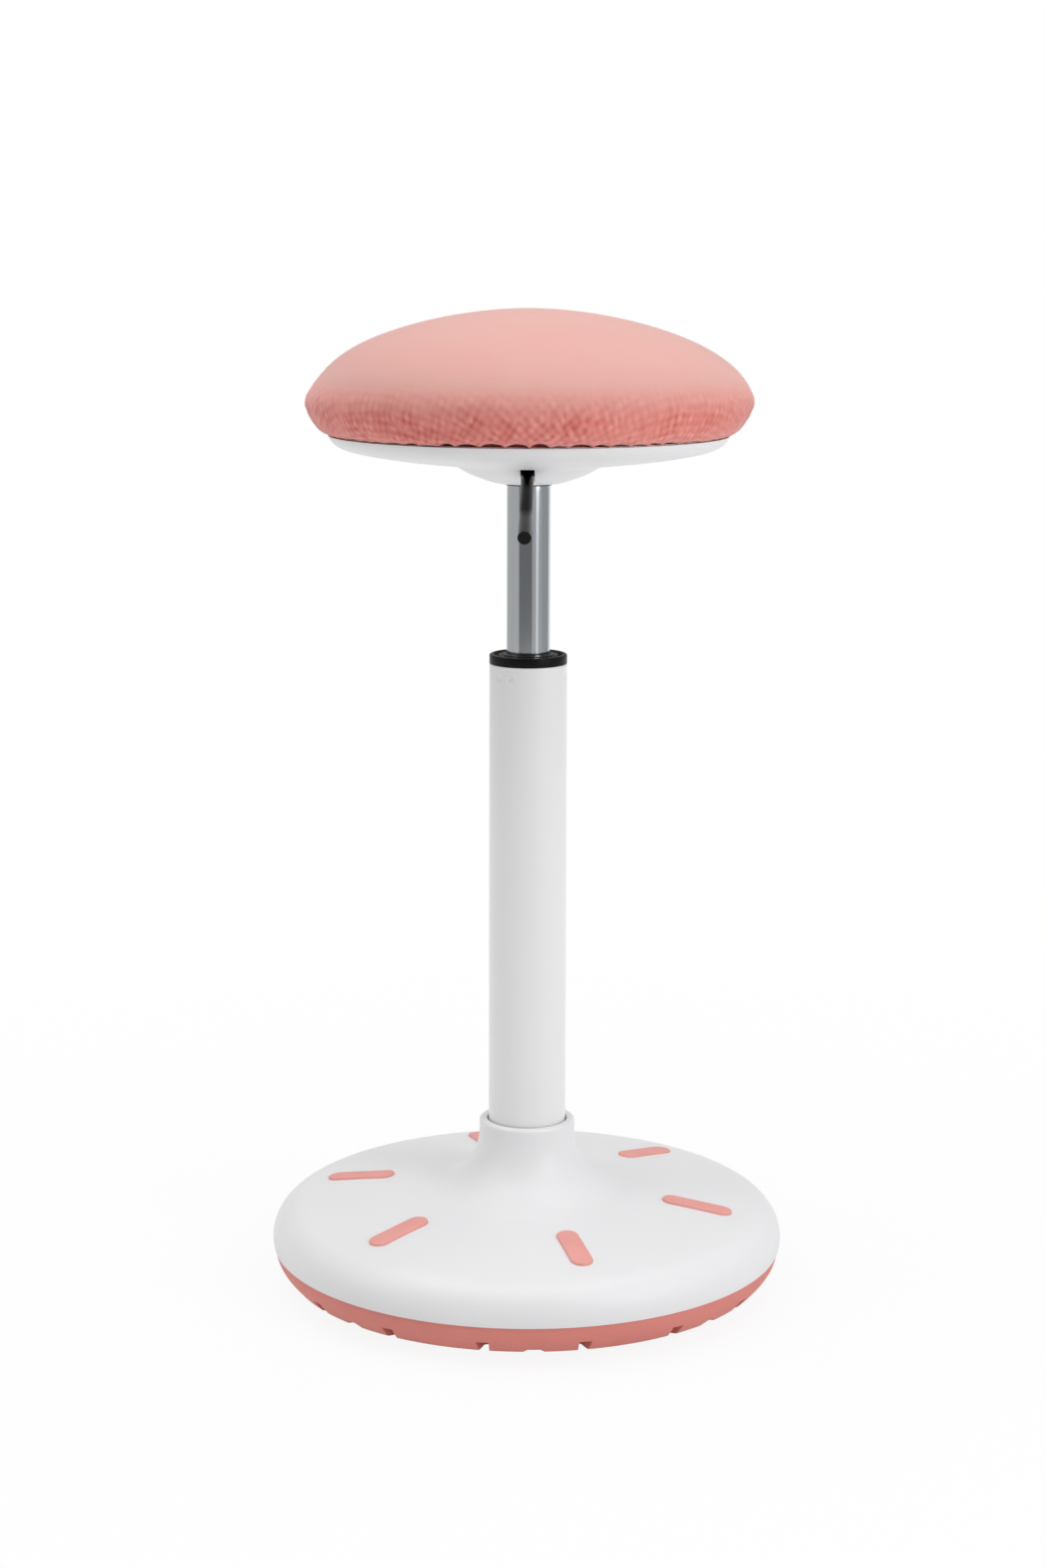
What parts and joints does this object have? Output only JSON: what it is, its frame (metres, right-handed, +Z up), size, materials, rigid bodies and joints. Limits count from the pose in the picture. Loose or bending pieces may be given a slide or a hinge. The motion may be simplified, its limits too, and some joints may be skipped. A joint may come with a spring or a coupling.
{
  "type": "wobble stool",
  "caption": "Height-adjustable wobble stool: padded round seat on a lockable gas column over a domed base with a convex rubber rocker sole, raised by a lever.",
  "frame": {"origin": "on the floor under the column's axis, in the middle of the sole's flat patch", "axes": "+Z up along the column, -Y towards the front, where the lever points, +X to the right seen from the front"},
  "size_m": [0.332, 0.332, 0.636],
  "materials": {
    "coral_rubber": "matte moulded rubber",
    "coral_inlay": "satin moulded rubber",
    "white_plastic": "fine satin moulded plastic",
    "white_paint": "smooth powder coat",
    "black_plastic": "satin moulded nylon",
    "black_gloss": "glossy black coat",
    "bright_steel": "bright drawn steel",
    "zinc_steel": "zinc plated",
    "dark_steel": "black e-coat",
    "black_rubber": "plain",
    "coral_knit": "knitted spacer fabric",
    "foam": "moulded foam",
    "plywood": "plain birch plywood"
  },
  "bodies": {
    "base": {"rocker_sole": "coral_rubber", "base_cover": "white_plastic", "dome_inlays": "coral_inlay", "base_plate": "dark_steel", "sole_screws": "zinc_steel", "column_tube": "white_paint", "guide_bush": "black_plastic", "column_end_plate": "zinc_steel", "bearing_lower_washer": "zinc_steel"},
    "bearing_cage": {"roller_cage": "black_plastic", "bearing_rollers": "bright_steel"},
    "rod": {"bearing_upper_washer": "zinc_steel", "bump_stop": "black_rubber", "piston_rod": "bright_steel", "rod_washer": "zinc_steel", "rod_clip": "zinc_steel", "piston": "zinc_steel", "piston_nut": "zinc_steel"},
    "seat": {"gas_cylinder": "bright_steel", "rod_guide": "black_plastic", "rod_seal": "black_rubber", "inner_cylinder": "zinc_steel", "valve_body": "zinc_steel", "hub_ring": "black_plastic", "seat_plate": "dark_steel", "seat_bolts": "zinc_steel", "tee_nuts": "zinc_steel", "seat_board": "plywood", "seat_shell": "white_plastic", "shell_screws": "zinc_steel", "seat_foam": "foam", "seat_cover": "coral_knit", "hem_elastic": "coral_knit", "lever_pivot_pin": "zinc_steel"},
    "valve_pin": {"release_pin": "zinc_steel"},
    "lever": {"lever_block": "black_plastic", "lever_rod": "black_gloss", "lever_cap": "black_gloss"}
  },
  "joints": [
    {"name": "seat_swivel", "type": "hinge", "parent": "base", "child": "rod", "pos_m": [0, 0, 0.0458], "axis": [0, 0, 1], "continuous": true},
    {"name": "cage_turn", "type": "hinge", "parent": "base", "child": "bearing_cage", "pos_m": [0, 0, 0.0418], "axis": [0, 0, 1], "continuous": true},
    {"name": "seat_lift", "type": "slide", "parent": "rod", "child": "seat", "axis": [0, 0, 1], "range_m": [-0.1, 0]},
    {"name": "lever_lift", "type": "hinge", "parent": "seat", "child": "lever", "pos_m": [-0.00053, -0.02549, 0.546], "axis": [-0.9998, 0.0209, 0], "range_deg": [0, 7], "stiffness_Nm_per_rad": 4, "springref_deg": -8.59},
    {"name": "pin_press", "type": "slide", "parent": "seat", "child": "valve_pin", "axis": [0, 0, 1], "range_m": [-0.0034, 0]}
  ],
  "couplings": [
    {"joint": "cage_turn", "follows": "seat_swivel", "ratio": 0.5},
    {"joint": "pin_press", "follows": "lever_lift", "m_per_rad": -0.02645}
  ]
}
